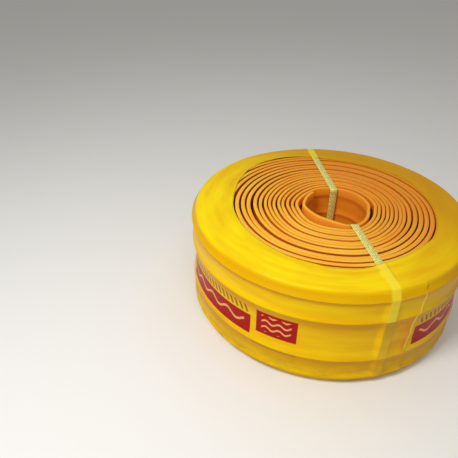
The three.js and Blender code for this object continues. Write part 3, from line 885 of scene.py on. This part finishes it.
def roundedCorners(points, radii, steps=5):
    # replaces each corner of a closed line by a short arc
    done = []
    count = len(points)
    for i in range(count):
        here, before, after = (np.array(points[k % count], float) for k in (i, i - 1, i + 1))
        inward, outward = before - here, after - here
        size = min(radii[i], np.linalg.norm(inward) * 0.45, np.linalg.norm(outward) * 0.45)
        a = here + inward / np.linalg.norm(inward) * size
        b = here + outward / np.linalg.norm(outward) * size
        for q in np.linspace(0, 1, steps):
            done.append((1 - q) ** 2 * a + 2 * q * (1 - q) * here + q * q * b)
    return np.array(done)


def densified(points, step):
    done = []
    for i, here in enumerate(points):
        after = points[(i + 1) % len(points)]
        pieces = max(1, int(round(np.linalg.norm(after - here) / step)))
        done += [here + (after - here) * k / pieces for k in range(pieces)]
    return np.array(done)


def makeStrap(name, material):
    # a closed loop in an upright plane: over the top, down the wall, under the coil and up through the bore
    v = strapValues
    start, along = strapLine(name)
    gap = v["clearance"] + v["thickness"] / 2

    def reachOf(radius):  # distance along the strap's line to a circle about the coil's axis
        ahead = float(start @ along)
        return -ahead + math.sqrt(ahead * ahead - float(start @ start) + radius * radius)

    atRibs, atRim, atKnee = (reachOf(radius) for radius in v["wallRadii"])
    top, low, bore = v["turnsTop"] + gap, v["lowest"], -v[name]["standIn"]
    loop = [(bore, top), (atKnee - 3, top), (atRim + gap, 197.4)]
    loop += [(atRibs + gap, height) for height in reversed(filmValues["ribHeights"])]
    loop += [(atRim + gap, 5.0), (atKnee - 3, low), (bore, low)]
    line = densified(roundedCorners(loop, v["cornerRadii"]), 6.0)
    # between the turns the strap dips by a hair, and in the bore it bows in
    up = line[:, 1]
    line[:, 1] += np.where(up > 200.5, 0.10 * np.sin(line[:, 0] * 2 * math.pi / 19), 0)
    inBore = line[:, 0] < bore + 6
    line[:, 0] -= np.where(inBore, 0.9 * np.sin(np.clip(up / 202, 0, 1) * math.pi), 0)
    ahead = np.roll(line, -1, 0) - np.roll(line, 1, 0)
    ahead /= np.linalg.norm(ahead, axis=1)[:, None]
    normal = np.stack([ahead[:, 1], -ahead[:, 0]], 1)  # across the strap's thickness
    length = np.concatenate([[0], np.cumsum(np.linalg.norm(np.diff(line, axis=0), axis=1))])
    # section of the strap: [sideways, through], one face and then the other
    w, t, e = v["width"] / 2, v["thickness"] / 2, v["edgeRound"]
    face = [(-w, -t + e), (-w + e, -t), (0, -t), (w - e, -t), (w, -t + e)]
    sides = face + [(side, -through) for side, through in reversed(face)]
    cross = np.array([along[1], -along[0]])
    # the strap's line misses the coil's axis a little, so across its width it leans to lie flush on the wall
    ray = start + along * atRibs
    lean = -float(cross @ ray) / float(along @ ray)
    rows, columns = len(line), len(sides)
    points, alongValues, acrossValues = [], [], []
    for i in range(rows):
        for side, through in sides:
            plan, height = line[i] + normal[i] * through
            plan += side * lean * float(smoothStep(plan, 20, atKnee))
            spot = start + along * plan + cross * side
            points.append((spot[0] / 1000, spot[1] / 1000, height / 1000))
            alongValues.append(length[i] / 1000)
            acrossValues.append(side / 1000)
    faces = []
    for i in range(rows):
        n = (i + 1) % rows
        for j in range(columns):
            k = (j + 1) % columns
            faces.append((i * columns + j, i * columns + k, n * columns + k, n * columns + j))
    strap = makePiece(name + "_band", points, faces, 60)
    setAttributes(strap.data, {"along": alongValues, "across": acrossValues})
    strap.data.materials.append(material)
    return strap


strapMaterial = makeStrapMaterial()
straps = {name: makeStrap(name, strapMaterial) for name in ("strap_front", "strap_back")}
print("straps made")


# Studio: pale floor, one large soft light from the front left, weak ones behind.
studioValues = {
    "floor": "F0EFEC",
    "sky": "FFFDF8",
    "skyStrength": 0.34,
    "key": {"place": (-0.55, -0.85, 1.35), "size": 0.36, "power": 14},
    "fill": {"place": (0.22, -1.05, 1.7), "size": 0.8, "power": 4},
    "back": {"place": (0.1, 0.7, 2.0), "size": 1.6, "power": 3.5},
}


def makeStudio():
    v = studioValues
    # rolled matt paint: even, with hardly any gloss
    material, tree = newMaterial("paleFloorPaint")
    at = addNode(tree, "ShaderNodeTexCoord")
    grain = addNode(tree, "ShaderNodeTexNoise", {"Vector": at.outputs["Object"], "Scale": 6.0, "Detail": 3.0})
    shade = addNode(tree, "ShaderNodeMapRange", {"Value": grain, "To Min": 0.62, "To Max": 0.7})
    shader = addNode(tree, "ShaderNodeBsdfPrincipled", {"Base Color": v["floor"], "Roughness": shade})
    addNode(tree, "ShaderNodeOutputMaterial", {"Surface": shader})
    floor = makePiece("studio_floor", [(-6, -6, 0), (6, -6, 0), (6, 6, 0), (-6, 6, 0)], [(0, 1, 2, 3)])
    floor.data.materials.append(material)
    world = bpy.data.worlds.new("softSky")
    scene.world = world
    world.use_nodes = True
    ground = world.node_tree.nodes["Background"]
    ground.inputs["Color"].default_value = linearColour(v["sky"])
    ground.inputs["Strength"].default_value = v["skyStrength"]
    for name in ("key", "fill", "back"):
        data = bpy.data.lights.new(name + "Light", "AREA")
        data.size = v[name]["size"]
        data.energy = v[name]["power"]
        light = bpy.data.objects.new(name + "Light", data)
        light.location = v[name]["place"]
        aim = Vector((0, 0, 0.1)) - Vector(v[name]["place"])
        light.rotation_euler = aim.to_track_quat("-Z", "Y").to_euler()
        scene.collection.objects.link(light)
    scene.view_settings.view_transform = "Standard"


makeStudio()
print("studio lit")

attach(strip, "root")
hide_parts("waterstop_roll")
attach(film, "root")
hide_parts("film_wrap")
for name, strap in straps.items():
    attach(strap, "root")
    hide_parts(name)
